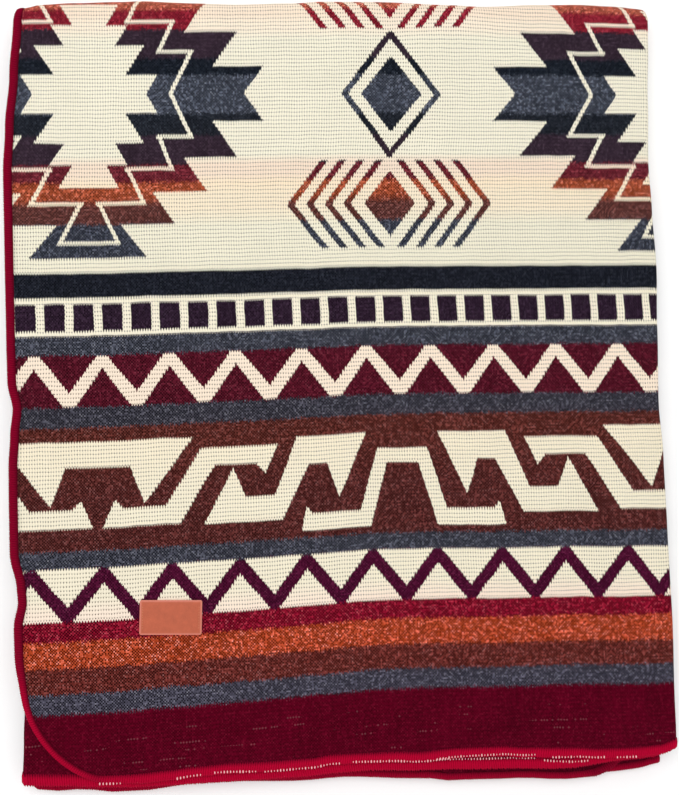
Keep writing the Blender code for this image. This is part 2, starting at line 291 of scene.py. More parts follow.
def sideLimits(layer, lower, y, fromHem):  # left and right end of a layer's middle surface
    tuck = lower * along(outlines["lowerTuck"], y)
    rightFold = mix(along(outlines["rightFold"], y), along(outlines["lowerRightFold"], y), lower)
    rightFold -= halfCloth + foldBetween(0, lower)[1]
    leftFold = along(outlines["leftFold"], y) + tuck + halfCloth + foldBetween(1, lower)[1]
    if layer == 0:
        return along(outlines["leftEdge"], y) + tuck + edgeRoom + cornerInset(fromHem), rightFold
    if layer == 1:
        return leftFold, rightFold
    upperSelvedge = along(outlines["rightFold"], y) - cloth["thirdInset"]
    selvedge = mix(upperSelvedge, along(outlines["lowerRightSelvedge"], y), lower)
    return leftFold, selvedge - edgeRoom - cornerInset(fromHem)


def hemLine(layer, half, x):  # where a layer ends, before its edging
    if half > 0:
        outer = along(outlines["firstHem" if layer == 0 else "secondHem"], x)
        outer += cloth["thirdHemRecess"] if layer == 2 else 0
    else:
        outer = along(outlines["lowerHem"], x) + cloth["lowerHemRecess"][layer] - cloth["lowerHemNarrower"]
    return outer + edgeRoom


def across(column, lower, y, fromHem):  # place across and height, before the lengthwise fold
    left, right = sideLimits(column.layer, lower, y, fromHem)
    if column.turn == 0:
        x = mix(left, right, column.share) + column.offset
        return x, layerHeight(column.layer, lower, x - left, right - x)
    centre, radius = foldBetween(column.layer, lower)
    side = 1 if column.layer == 0 else -1
    edge = right if column.layer == 0 else left
    return edge + side * radius * sin(column.turn), centre + radius * cos(column.turn)


def hemAt(column, half):  # the hem's line at a column, carried smoothly round a side fold
    x = across(column, 0 if half > 0 else 1, cloth["hemLevel"], 0)[0]
    here = hemLine(column.layer, half, x)
    if column.turn == 0:
        return here
    return mix(here, hemLine(column.layer + 1, half, x), (1 - cos(column.turn)) / 2)


def rise(half, x, fromHem):  # how far a layer stands off its plane near the hem
    height = cloth["hemRise"] * (1 - ease(fromHem / cloth["hemRiseRun"]))
    if half > 0:
        lift = cloth["upperHemRise"] + along(outlines["pocketLift"], x)
        height += lift * (1 - ease(fromHem / cloth["pocketRun"]))
    return height


def creased(x, y):
    height = 0
    for crease in creases:
        (ax, ay), (bx, by) = crease.start, crease.end
        dx, dy, px, py = bx - ax, by - ay, x / mm - ax, y / mm - ay
        t = min(max((px * dx + py * dy) / (dx * dx + dy * dy), 0), 1)
        away = hypot(px - t * dx, py - t * dy)
        height += crease.height * (1 - ease(away / crease.half)) * mm
    return height


def unevenness(x, y):
    return sum(w.height * sin(2 * pi * (x / w.across + y / w.along) + w.phase) for w in waves) + creased(x, y)


def clothPoint(column, row):  # a point of the cloth's middle surface, and its place along the length
    lower = (1 - cos(row.turn)) / 2 if row.turn else (0 if row.half > 0 else 1)
    axis = along(outlines["topFold"], across(column, lower, cloth["topLevel"], 1)[0]) - middleHeight
    if row.turn:
        y, fromHem = axis + across(column, lower, axis, axis)[1] * sin(row.turn), axis
    else:
        hem = hemAt(column, row.half)
        y, fromHem = hem + row.fromHem, row.fromHem
        if row.fromHem == foldLine:
            y, fromHem = axis, axis - hem
    x, height = across(column, lower, y, fromHem)
    angle = row.turn if row.turn else (0 if row.half > 0 else pi)
    z = middleHeight + height * cos(angle)
    z += unevenness(x, y) * max(height * cos(angle), 0) / middleHeight
    length = y if row.half > 0 else 2 * axis + pi * foldRadius - y
    if row.turn:
        length = axis + foldRadius * row.turn
        y = axis + height * sin(angle)
    else:
        z += rise(row.half, x, fromHem)
    return Vector((x, y, z)), length, unrolled(column, lower, x, y, fromHem)


def unrolled(column, lower, x, y, fromHem):  # place across the cloth as if it lay flat
    rightEnd = sideLimits(0, lower, y, fromHem)[1]
    leftEnd = sideLimits(1, lower, y, fromHem)[0]
    rightRound = pi * foldBetween(0, lower)[1]
    leftRound = pi * foldBetween(1, lower)[1]
    if column.layer == 0:
        return rightEnd + rightRound * column.turn / pi if column.turn else x
    start = rightEnd + rightRound + rightEnd
    if column.layer == 1:
        return start - leftEnd + leftRound * column.turn / pi if column.turn else start - x
    return start - leftEnd + leftRound + x - leftEnd


def turns(steps):
    return [pi * k / steps for k in range(1, steps)]


def evenly(spacing, length):
    steps = round(length / spacing)
    return [k / steps for k in range(steps + 1)]


def clothColumns():
    width, sideTurns = cloth["layerWidth"], turns(cloth["sideFoldSteps"])
    hidden = evenly(cloth["hiddenSpacing"], width)
    made = [Column(0, share, 0, 0) for share in evenly(cloth["firstSpacing"], width)]
    made += [Column(0, 1, 0, turn) for turn in sideTurns]
    made += [Column(1, 1, offset * mm, 0) for offset in cloth["nearFold"]]
    made += [Column(1, share, 0, 0) for share in reversed(hidden[:-1])]
    made += [Column(1, 0, 0, turn) for turn in sideTurns]
    made += [Column(2, share, 0, 0) for share in hidden]
    return made


def clothRows():  # from the hem of the upper half over the lengthwise fold to the other hem
    length, farFrom = cloth["layerLength"], cloth["lowerFarFrom"]
    first = [place * mm for place in cloth["nearHem"]]
    upper = [share * length for share in evenly(cloth["upperSpacing"], length)]
    upper = first + [place for place in upper if place > cloth["upperFrom"]]
    steps = round((farFrom - cloth["lowerFrom"]) / cloth["lowerSpacing"])
    lower = first + [cloth["lowerFrom"] + k * cloth["lowerSpacing"] for k in range(steps)]
    farShares = evenly(cloth["lowerFarSpacing"], length - farFrom)
    lower += [farFrom + share * (length - farFrom) for share in farShares]
    made = [Row(1, place, 0) for place in upper]
    made += [Row(1, foldLine, 0)]
    made += [Row(0, 0, turn) for turn in turns(cloth["topFoldSteps"])]
    made += [Row(-1, foldLine, 0)]
    made += [Row(-1, place, 0) for place in reversed(lower)]
    return made


# How the woven pattern lies on the cloth. Its rows hang at both sides of the middle column, and its
# upright lines lean a little.

lie = {
    "columnPlace": 46.9 * mm,
    "bowShape": marks(
        (-330, 1000), (-258, 980), (-200, 740), (-144, 560), (-86, 300), (-28, 0), (27, 120), (86, 400),
        (143, 550), (200, 880), (240, 1000), (300, 1150)),  # thousandths of the bow's whole depth
    "bowLeft": marks(
        (-340, 7.8), (-190, 7.0), (-130, 6.4), (-10, 5.4), (40, 4.0), (90, 3.4), (250, 3.2), (300, 4.0),
        (330, 6.0)),
    "bowRight": marks(
        (-340, 8.6), (-190, 7.0), (-130, 6.6), (-22, 3.6), (-5, 4.0), (40, 2.6), (90, 1.4), (200, 1.2),
        (300, 1.6), (330, 3.2)),
    # How far upright lines lie to the right, by level, at three places across
    "leftAt": -300 * mm,
    "leanLeft": marks(
        (-340, -3.0), (-185, -3.0), (-141, -2.8), (-120, -0.8), (-34, -0.2), (60, -0.5), (110, -1.2),
        (166, -1.4), (204, -1.0), (235, -0.2), (265, 0.3), (320, 0.7)),
    "leanMiddle": marks(
        (-340, 0.3), (0, -0.5), (60, -1.4), (110, -3.4), (137, -4.7), (166, -4.4), (204, -3.2),
        (235, -1.0), (265, 0.5), (300, 1.0), (320, 1.2), (370, 1.6)),
    "rightAt": 240 * mm,
    "leanRight": marks(
        (-340, 0.3), (-163, 0.5), (-100, 2.5), (-60, 2.5), (-20, 0), (60, -1.4), (110, -3.4), (137, -4.3),
        (166, -3.9), (204, -2.8), (235, -0.6), (265, 0.9), (320, 2.1), (370, 2.6)),
    # Past the left medallion's middle the pattern is drawn together, or apart where this is below 0
    "drawnFrom": -265 * mm,
    "drawn": marks(
        (-210, 0), (-190, -0.06 / mm), (-140, -0.06 / mm), (-120, 0), (120, 0), (200, 0.03 / mm),
        (230, 0.08 / mm)),
    # A small hump over the far fold, right of the column
    "humpAt": 62 * mm,
    "humpHalf": 70 * mm,
    "humpAbove": marks((300, 0), (326, 3.2)),
}


def patternPlace(x, length):  # where a point of the cloth lies in the straight pattern, in metres
    side = x - lie["columnPlace"]
    depth = along(lie["bowLeft"] if side < 0 else lie["bowRight"], length)
    y = length + depth * along(lie["bowShape"], side)
    y -= along(lie["humpAbove"], length) * (1 - ease(abs(side - lie["humpAt"]) / lie["humpHalf"]))
    lean = along(lie["leanMiddle"], y)
    if side < 0:
        lean = mix(lean, along(lie["leanLeft"], y), min(side / lie["leftAt"], 1))
    else:
        lean = mix(lean, along(lie["leanRight"], y), min(side / lie["rightAt"], 1))
    drawn = min(side - lie["drawnFrom"], 0) * along(lie["drawn"], y)
    return side - lean + drawn, y


def meshFrom(name, points, faces):
    mesh = bpy.data.meshes.new(name)
    mesh.from_pydata(points, [], faces)
    mesh.update()
    return mesh


def settled(made, name):  # the evaluated object as a plain mesh piece
    graph = bpy.context.evaluated_depsgraph_get()
    mesh = bpy.data.meshes.new_from_object(made.evaluated_get(graph))
    mesh.name = name
    made.modifiers.clear()
    old = made.data
    made.data = mesh
    bpy.data.meshes.remove(old)
    made.name = name
    return made


def foldedCloth(finishes):
    columns, rows = clothColumns(), clothRows()
    shift = Vector((*cloth["shift"], 0))
    grid = [[clothPoint(column, row) for column in columns] for row in rows]
    points = [point + shift for line in grid for point, length, side in line]
    places = [patternPlace(side, length) for line in grid for point, length, side in line]
    wide = len(columns)
    faces = [
        (i * wide + j, i * wide + j + 1, (i + 1) * wide + j + 1, (i + 1) * wide + j)
        for i in range(len(rows) - 1)
        for j in range(wide - 1)
    ]
    mesh = meshFrom("blanket_cloth", points, faces)
    layout = mesh.uv_layers.new(name="clothPlace")
    for loop in mesh.loops:
        layout.data[loop.index].uv = places[loop.vertex_index]
    for finish in finishes:
        mesh.materials.append(finish)
    mesh.shade_smooth()
    made = linked(bpy.data.objects.new("blanket_cloth", mesh))
    thickness = made.modifiers.new("thickness", "SOLIDIFY")
    thickness.thickness = cloth["thickness"]
    thickness.offset = 0
    thickness.use_even_offset = True
    thickness.material_offset = 1
    middles = [[point + shift for point, length, side in line] for line in grid]
    return settled(made, "blanket_cloth"), middles, columns, rows


# Shader and node helpers


class Value:  # a number that a node gives, with the usual arithmetic. A mask is 1 inside and 0 outside.
    def __init__(self, socket):
        self.socket = socket

    def calc(self, operation, *others, clamp=False):
        node = added(self.socket.id_data, "ShaderNodeMath", {"operation": operation, "use_clamp": clamp})
        for socket, value in zip(node.inputs, (self, *others)):
            put(socket, value)
        return Value(node.outputs[0])

    def scaled(self, by, plus, clamp=False):
        return self.calc("MULTIPLY_ADD", by, plus, clamp=clamp)

    def within(self, low, high):
        return (self > low) & (self < high)

    def without(self, hole):
        return self & (1.0 - hole)

    __add__ = __radd__ = lambda self, other: self.calc("ADD", other)
    __sub__ = lambda self, other: self.calc("SUBTRACT", other)
    __rsub__ = lambda self, other: self.calc("MULTIPLY_ADD", -1.0, other)
    __mul__ = __and__ = lambda self, other: self.calc("MULTIPLY", other)
    __truediv__ = lambda self, number: self.calc("MULTIPLY", 1 / number)
    __mod__ = lambda self, other: self.calc("MODULO", other)
    __or__ = lambda self, other: self.calc("MAXIMUM", other)
    __gt__ = lambda self, other: self.calc("GREATER_THAN", other)
    __lt__ = lambda self, other: self.calc("LESS_THAN", other)
    __abs__ = lambda self: self.calc("ABSOLUTE")


def put(socket, value):  # links what a node gives, or sets a plain value
    if isinstance(value, Value):
        value = value.socket
    if isinstance(value, bpy.types.NodeSocket):
        socket.id_data.links.new(value, socket)
    else:
        socket.default_value = value


def added(tree, kind, settings=None, **values):  # a new node with its settings and named inputs
    node = tree.nodes.new(kind)
    for key, value in (settings or {}).items():
        setattr(node, key, value)
    for key, value in values.items():
        put(node.inputs[key.replace("_", " ")], value)
    return node


def colour(code, strength=1.0):  # a colour code as linear values
    parts = [int(code[k : k + 2], 16) / 255 for k in (0, 2, 4)]
    return tuple((p / 12.92 if p <= 0.04045 else ((p + 0.055) / 1.055) ** 2.4) * strength for p in parts) + (1,)


def blended(tree, share, first, second, kind="MIX"):  # a colour mix
    node = added(tree, "ShaderNodeMix", {"data_type": "RGBA", "blend_type": kind})
    for k, value in ((0, share), (6, first), (7, second)):
        put(node.inputs[k], value)
    return node.outputs[2]


def bumped(shader, height, distance):
    node = added(shader.id_data, "ShaderNodeBump", Height=height, Distance=distance)
    put(shader.inputs["Normal"], node.outputs[0])


def chartPieces(across, level, rowLevel, pieces):
    # Pieces of the chart, each between two levels, with straight sides between its lower edge and its
    # upper one: (level, left, right) and (level, left, right).
    masks = []
    for (low, lowLeft, lowRight), (high, highLeft, highRight) in pieces:
        lowMiddle, highMiddle = (lowLeft + lowRight) / 2, (highLeft + highRight) / 2
        lowHalf, highHalf = (lowRight - lowLeft) / 2, (highRight - highLeft) / 2
        slope = (highMiddle - lowMiddle) / (high - low)
        spread = (highHalf - lowHalf) / (high - low)
        fromMiddle = across - (lowMiddle - slope * low)
        if slope:
            fromMiddle = rowLevel.scaled(-slope, fromMiddle)
        half = rowLevel.scaled(spread, lowHalf - spread * low) if spread else lowHalf
        between = level.calc("COMPARE", (low + high) / 2, (high - low) / 2)
        masks.append(fromMiddle.calc("COMPARE", 0.0, half) & between)
    return reduce(or_, masks)


# The woven pattern, charted in millimetres. Levels run along the blanket from its middle column's own
# zero, and distances run across it from a motif's own middle.

weave = {
    "row": 3.45,
    "stitch": 2.23,
    "tooth": 2.3,  # how far the stitches stand over a straight edge
    "slant": 0.6,
    "steps": 0.4,  # 1 where a slanting edge goes in whole rows
    "cell": (1.25, 1.3),
    "wander": 0.9,  # how far rows and stitches wander from their lines
    "wanderScale": 60.0,
    "mingling": 2.6,  # how far the cells of one stripe reach into the next
    "relief": 0.6,
    "fuzz": 0.5,
    "fuzzScale": 900.0,
}
# How light and deep the yarn is, with painted shade where its rows end and, on the pale yarn, at the seams
# between stitches. Two numbers are a factor and what is added.
shading = {
    "check": (0.5, 0.35),  # of a cell's chance, lighter or deeper by turns
    "glint": (2.2, -0.44),  # of the fourth power of its chance
    "cells": 1.2,
    "greying": (0.2, -0.08),
    "cloud": 0.55,
    "cloudScale": 26.0,
    "streak": 0.5,
    "streakStretch": (300, 12, 1),
    "deepest": 0.1,
    "rowEndFrom": 0.3,  # of a row, from its middle
    # painted shade where rows end, on the dark and the pale yarn
    "rowEndShade": (-0.14, 1.05),
    "paleRowEndShade": (-0.02, 1.09),
    "paleCloud": 0.08,
    # painted shade at the seams between pale stitches
    "paleSeamShade": -0.08,
    "seamFrom": 0.6,
    "dotFrom": 0.33,
    "dot": (-0.4, -0.45),
}
pattern = {
    "middle": 363.5,  # half the blanket's length, past which the pattern is turned over
    "repeat": 526.0,
    "medallionLeft": -265.0,
    "rightStretch": 1.11,
    "medallionLevel": 265.7,
    "columnLevel": 264.8,
    "chevronLevel": 165.5,
    "motifsFrom": 112.0,
    "keyRepeat": 528.2,
}
diamonds = {  # half width, half height, and where the point ends
    "ring": (45.4, 59.6, 57.4),
    "ringHole": (38.8, 50.6, 50.6),
    "core": (27.4, 35.2, 33.4),
    "small": (23.0, 29.8, 29.8),
}
chevrons = {"slope": 0.76, "from": 35.4, "to": 93.0, "pitch": 16.8, "stroke": 6.8, "halfHeight": 39.5}
squares = {"pitch": 24.58, "start": 13.1, "width": 17.4, "levels": (59.4, 82.3)}
zigzags = {
    "pitch": 57.4,
    "phase": -28.65,
    "paleLevels": (-4.6, 38.6),
    "darkLevels": (-184.8, -141.0),
    # Slope of each edge, and its level below a peak
    "paleFoot": (-1.34, 27.6),
    "paleTop": (-1.244, 43.2028),
    "darkFoot": (-1.275, -153.3),
    "darkTop": (-1.244, -136.8948),
}
speck = {
    "levels": (-318.0, -276.0),
    "every": 5.0,  # rows of cells
    "chance": 0.35,
    "stretch": (34, 90, 1),
    "groupsFrom": 0.6,
    "yarn": "E09AA0",
    "share": 0.12,
}
# A piece of the chart is its lower and its upper edge: (level, left, right). The medallion's levels and
# distances are from its own middle, and it is the same on all four sides.
medallionOutside = [
    ((0, -1, 133), (25, -1, 151)),
    ((25, -1, 106), (57, -1, 128)),
    ((57, -1, 81.5), (87, -1, 102)),
    ((87, -1, 54), (115.2, -1, 73.5)),
    ((115.2, -1, 26.5), (143.7, -1, 48.0)),
]
medallionInside = [
    ((0, -1, 48), (17.4, -1, 58)),
    ((17.4, -1, 30), (43.5, -1, 46.5)),
    ((43.5, -1, 21.5), (62.8, -1, 32.5)),
    ((62.8, -1, 14), (82.5, -1, 25)),
]
medallionLine = [
    ((0, 67.2, 70.9), (36.7, 84.6, 88.3)),
    ((36.7, 57.0, 88.3), (39.8, 57.0, 89.8)),
    ((39.8, 58.2, 61.9), (64.7, 68.8, 72.5)),
    ((64.7, 30.0, 72.5), (67.8, 30.0, 73.9)),
    ((67.8, 31.2, 34.9), (94.7, 44.0, 47.7)),
    ((94.7, 5.0, 47.7), (97.8, 5.0, 49.1)),
    ((97.8, 6.6, 10.3), (129.2, 21.2, 24.9)),
    ((129.2, -1, 24.9), (132.3, -1, 26.2)),
]
# The stepped key row, with distances from the middle of each of its turns
keyRow = [
    ((-88.1, 39.3, 40.1), (-56.4, 27.2, 64.3)),
    ((-56.4, -5, 64.3), (-34.3, -5, 81.4)),
    ((-107.4, 3.9, 69.2), (-91.7, 10.8, 79.0)),
    ((-91.7, 57.4, 79.0), (-59.3, 78.4, 99.7)),
    ((-59.3, 78.4, 147.5), (-44.1, 88.1, 154.7)),
    ((-67.8, 143.2, 143.8), (-59.3, 135.9, 147.5)),
    ((-91.7, 10.8, 21.4), (-83.9, 14.4, 14.6)),
    ((-109.3, 90.1, 157.5), (-87.7, 101.9, 168.6)),
    ((-87.7, 151.5, 168.6), (-62.2, 162.0, 181.7)),
    ((-62.2, 162.0, 221.5), (-38.4, 171.4, 232.3)),
    ((-87.7, 101.9, 126.0), (-62.7, 115.5, 115.7)),
    ((-92.4, 207.4, 207.8), (-62.2, 197.4, 221.5)),
    ((-120.4, 173.6, 234.4), (-105.6, 177.4, 238.6)),
    ((-105.6, 226.0, 238.6), (-64.7, 238.3, 250.2)),
    ((-64.7, 238.3, 270), (-52.2, 242.0, 270)),
    ((-105.6, 177.4, 183.4), (-99.7, 178.9, 179.1)),
]
# The dark yarns from the hem to the middle: level at which each starts, its colour, how softly it starts,
# and its speckle
Yarn = namedtuple("Yarn", "start code softness speckle", defaults=[0])
darkYarns = [Yarn(*entry) for entry in (
    (-400, "52061A", 0, 0.28), (-261.8, "403E4A", 2.2, 1.0), (-244.7, "5E2824", 1.0, 1.0),
    (-223.6, "A04128", 1.2, 1.0), (-201.3, "781226", 1.2, 0.9), (-184.8, "45102A", 0.4, 0.5),
    (-141.0, "3C3D47", 0.6, 1.0), (-126.2, "502624", 0.8, 0.9), (-60, "562924", 40, 0.9),
    (-22.2, "3A3942", 0.8, 1.0), (-4.6, "4D1522", 0.8, 0.6), (38.6, "3C3E48", 0.6, 1.0),
    (55.0, "2B1D2B", 0.4, 0.6), (85.0, "1C1E26", 0.4, 0.7), (114.0, "393C47", 0.4, 1.0),
    (151.2, "5A3430", 1.0, 0.8), (170.5, "984A32", 8.0, 0.8), (187.6, "62232C", 2.0, 0.65),
    (203.0, "322630", 0.4, 0.4), (228.4, "20232A", 0.4, 0.6), (247.5, "40444F", 0.4, 1.0),
    (283.1, "1A1E26", 0.4, 0.6), (297.9, "322630", 0.4, 0.4), (325.0, "80222F", 0.4, 0.55),
    (343.0, "AC5A48", 3.0, 0.7),
)]
# The pale yarn: level, colour and how softly it starts
paleYarns = [Yarn(*entry) for entry in (
    (-400, "EFDDCB", 0), (-172, "E9E0C9", 14), (-60, "EBDFC6", 60), (-12, "EEDCC8", 2), (50, "E9E1CC", 6),
    (100, "E5DFCA", 10), (156, "EBDCC3", 16), (180, "EEDBC0", 10), (190, "E9D5C1", 8), (207, "E8E2CE", 8),
    (320, "EEE0CC", 10), (334, "EDDAC5", 8),
)]
paleGrounds = [(-184.8, -141.0), (55.0, 87.7), (108.9, 400)]  # levels where the ground is pale
twoSided = [(-184.8, -141.0), (-121, -34), (-4.6, 38.6), (55.0, 87.7), (108.9, 400)]  # levels with a motif


def wovenGroup():
    group = bpy.data.node_groups.new("wovenPattern", "ShaderNodeTree")
    for name, way, kind in (("Place", "INPUT", "Vector"), ("Reverse", "INPUT", "Float"),
                            ("Color", "OUTPUT", "Color"), ("Height", "OUTPUT", "Float")):
        group.interface.new_socket(name, in_out=way, socket_type="NodeSocket" + kind)
    entry = group.nodes.new("NodeGroupInput")
    result = group.nodes.new("NodeGroupOutput")

    def parts(vector):
        return [Value(part) for part in added(group, "ShaderNodeSeparateXYZ", Vector=vector).outputs]

    def noise(scale, detail, stretch=(1, 1, 1)):
        place = added(group, "ShaderNodeVectorMath", {"operation": "MULTIPLY"}, Vector=entry.outputs["Place"])
        place.inputs[1].default_value = stretch
        return added(group, "ShaderNodeTexNoise", Vector=place.outputs[0], Scale=scale, Detail=detail)

    place, drift = parts(entry.outputs["Place"]), parts(noise(weave["wanderScale"], 2.0).outputs["Color"])
    side, length = [place[k].scaled(1 / mm, (drift[k] - 0.5) * (2 * weave["wander"])) for k in (0, 1)]

    # Stitches and rows
    fromSeam = abs((side / weave["stitch"]).calc("FRACT").scaled(2.0, -1.0))  # 0 in a stitch's middle
    level = pattern["middle"] - abs(length - pattern["middle"])
    combed = (fromSeam - 0.5).scaled(weave["tooth"], level)
    rows = combed / weave["row"]
    inRow = rows.calc("FRACT")
    rowLevel = (rows.calc("FLOOR") + 0.5) * weave["row"]
    stepped = rowLevel.scaled(weave["steps"], combed * (1 - weave["steps"]))
    slanted = (inRow - 0.5).scaled(weave["slant"], side)

    def amid(bands):
        return reduce(or_, [combed.within(low, high) for low, high in bands])

    # Medallions
    spot = (slanted + (4 * pattern["repeat"] - pattern["medallionLeft"])) % pattern["repeat"]
    fromMedallion = spot.calc("MINIMUM", (pattern["repeat"] - spot) / pattern["rightStretch"])
    fromLevel = [abs(value - pattern["medallionLevel"]) for value in (combed, stepped)]
    outside, inside, line = [
        chartPieces(fromMedallion, *fromLevel, pieces)
        for pieces in (medallionOutside, medallionInside, medallionLine)
    ]
    medallion = outside.without(inside).without(line)

    # The column between them: a diamond in a diamond, and chevrons round small diamonds
    fromColumn = abs(spot + pattern["medallionLeft"])
    columnApart = abs(stepped - pattern["columnLevel"])
    chevronApart = abs(stepped - pattern["chevronLevel"]).calc("MINIMUM", abs(stepped - pattern["middle"]))

    def diamond(apart, name):
        halfWide, halfHigh, end = diamonds[name]
        return (fromColumn / halfWide + apart / halfHigh < 1.0) & (apart < end)

    ring = diamond(columnApart, "ring").without(diamond(columnApart, "ringHole"))
    reach = chevronApart.scaled(chevrons["slope"], fromColumn)
    stroke = (reach - chevrons["from"]) % chevrons["pitch"] < chevrons["stroke"]
    strokes = stroke & reach.within(chevrons["from"], chevrons["to"]) & (chevronApart < chevrons["halfHeight"])
    motifs = medallion | ring | diamond(columnApart, "core") | diamond(chevronApart, "small") | strokes
    motifs = motifs & (combed > pattern["motifsFrom"])

    # Squares, zigzags and the stepped key row
    inSquare = (slanted + (80 * squares["pitch"] - squares["start"])) % squares["pitch"] < squares["width"]
    pitch = zigzags["pitch"]
    fromPeak = abs((slanted + (40.5 * pitch - zigzags["phase"])) % pitch - pitch / 2)
    paleFoot, paleTop, darkFoot, darkTop = [
        fromPeak.scaled(*zigzags[name]) for name in ("paleFoot", "paleTop", "darkFoot", "darkTop")
    ]
    low, high = zigzags["paleLevels"]
    paleZigzag = stepped.within(paleFoot.calc("MAXIMUM", low), paleTop.calc("MINIMUM", high))
    half = pattern["keyRepeat"] / 2
    fromTurn = half - abs((slanted + 7 * half) % (2 * half) - half)
    keys = chartPieces(fromTurn, combed, stepped, keyRow)

    darkOnPale = motifs | (inSquare & amid([squares["levels"]]))
    darkOnPale = darkOnPale | (stepped.within(darkFoot, darkTop) & amid([zigzags["darkLevels"]]))
    pale = amid(paleGrounds).without(darkOnPale) | (paleZigzag & amid([zigzags["paleLevels"]])) | keys
    shown = abs(pale - (Value(entry.outputs["Reverse"]) & amid(twoSided)))

    # Small cells, each with its own chances
    cellSide, cellLevel = [(value / size).calc("FLOOR") for value, size in zip((side, level), weave["cell"])]
    cell = added(group, "ShaderNodeCombineXYZ", X=cellSide, Y=cellLevel)
    random = added(group, "ShaderNodeTexWhiteNoise", {"noise_dimensions": "2D"}, Vector=cell.outputs[0])
    chance, chances = Value(random.outputs["Value"]), parts(random.outputs["Color"])

    # Yarn colours by level
    def nextYarns(value, yarns):  # each yarn after the first, with its share
        for yarn in yarns[1:]:
            slope = 1 / max(yarn.softness, 0.1)
            yield yarn, value.scaled(slope, 0.5 - yarn.start * slope, clamp=True)

    dark, speckle, light = colour(darkYarns[0].code), darkYarns[0].speckle, colour(paleYarns[0].code)
    for yarn, share in nextYarns((chances[1] - 0.5).scaled(weave["mingling"], combed), darkYarns):
        dark = blended(group, share, dark, colour(yarn.code))
        speckle = share.scaled(yarn.speckle - speckle, speckle)
    for yarn, share in nextYarns(level, paleYarns):
        light = blended(group, share, light, colour(yarn.code))

    # Every other cell stands back, and each catches the light differently
    odd = (cellSide + cellLevel + 4000.0) % 2.0
    checked = odd.scaled(-2.0, 1.0) * chance.scaled(*shading["check"])
    bright = (chances[2].calc("POWER", 4.0).scaled(*shading["glint"]) + checked) * speckle
    cloud = Value(noise(shading["cloudScale"], 3.0).outputs[0]) - 0.5
    streak = Value(noise(1.0, 2.0, shading["streakStretch"]).outputs[0]) - 0.5
    fromRow = abs((level / weave["row"]).calc("FRACT") - 0.5)
    rowEndShade = fromRow > shading["rowEndFrom"]

    # Dark yarn, greyer in its bright cells
    depth = bright.scaled(shading["cells"], 1.0) + cloud * shading["cloud"]
    depth = streak.scaled(shading["streak"], depth).calc("MAXIMUM", shading["deepest"])
    grey = added(group, "ShaderNodeRGBToBW", Color=dark)
    dark = blended(group, bright.scaled(*shading["greying"]), dark, grey.outputs[0])
    dark.node.clamp_factor = False

    # Pale yarn, with a pin-dot between its stitches in every row, and painted shade at its seams and where its
    # rows end
    seam = fromSeam > shading["seamFrom"]
    dots = (fromRow > shading["dotFrom"]) * seam * chance.scaled(*shading["dot"])
    paleToneAndShade = rowEndShade.scaled(*shading["paleRowEndShade"]) + seam.scaled(shading["paleSeamShade"], dots)
    paleToneAndShade = cloud.scaled(shading["paleCloud"], paleToneAndShade)

    def shaded(tint, depth):
        return added(group, "ShaderNodeVectorMath", {"operation": "SCALE"}, Vector=tint, Scale=depth).outputs[0]

    # A few pale specks near the hem
    specks = level.within(*speck["levels"]) & ((cellLevel + 4000.0) % speck["every"] < 1.0) & odd
    groups = Value(noise(1.0, 1.0, speck["stretch"]).outputs[0]) > speck["groupsFrom"]
    specks = specks & (chance > speck["chance"]) & groups
    # painted shade where the dark yarn's rows end
    darkColour = shaded(dark, depth * rowEndShade.scaled(*shading["rowEndShade"]))
    darkColour = blended(group, specks * speck["share"], darkColour, colour(speck["yarn"]))
    put(result.inputs["Color"], blended(group, shown, darkColour, shaded(light, paleToneAndShade)))

    # Relief of the stitches
    roundRow = 1.0 - abs(inRow.scaled(2.0, -1.0)).calc("POWER", 3.0)
    fuzz = Value(noise(weave["fuzzScale"], 4.0).outputs[0]) * weave["fuzz"]
    put(result.inputs["Height"], ((1.0 - fromSeam * fromSeam) * roundRow).scaled(weave["relief"], fuzz))
    return group


def wovenFinish(name, group, reverse):
    made, tree, shader = newFinish(name, 0.95, 0.03)
    place = added(tree, "ShaderNodeUVMap", {"uv_map": "clothPlace"})
    woven = added(tree, "ShaderNodeGroup", {"node_tree": group}, Place=place.outputs[0], Reverse=reverse)
    put(shader.inputs["Base Color"], woven.outputs["Color"])
    bumped(shader, woven.outputs["Height"], 0.5 * mm)
    return made


woven = wovenGroup()
finishes = [wovenFinish("wovenFace", woven, 0.0), wovenFinish("wovenBack", woven, 1.0)]
clothPiece, grid, columns, rows = foldedCloth(finishes)
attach(clothPiece, "root")
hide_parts("blanket")
print("cloth made:", len(clothPiece.data.polygons), "faces")

# The overlocked edging: a rounded core along the cloth's whole rim, with yarn wrapped over it

edging = {
    "coreSides": 12,
    "coreShrink": 0.93,
    "pitch": 2.0 * mm,
    "strand": 1.15 * mm,
    "sweep": radians(280),
    "slant": radians(9),
    "seed": 7,
    "hemColour": "B40631",
    "sideColour": "840527",
    # painted shade on the inner side, where the yarn meets the cloth
    "innerShadeColour": "62041E",
    # How far it reaches in over the cloth
    "over": 1.3 * mm,
    "overSide": 0.4 * mm,
    "overHem": 3.0 * mm,
    "overSecondHem": 4.4 * mm,
    # It is narrower round the rounded corner
    "corner": (-271 * mm, -300 * mm),
    "cornerRun": 85 * mm,
    "cornerNarrower": 1.6 * mm,
    "cornerFull": 0.4,  # share of the run in which all of that counts
    # How bright its yarn is: 1 on the two upper hems, 0 along the sides
    "lowestHemBright": 0.35,
    "cornerBright": 0.75,
    # how the painted shade fades out from the inner side
    "innerShadeShare": (-1.1, -0.05),
    "unevenness": (0.5, 0.75),
    "leanLimits": (0.55, 1.45),  # of the slant
}
Reach = namedtuple("Reach", "outwards inwards bright")


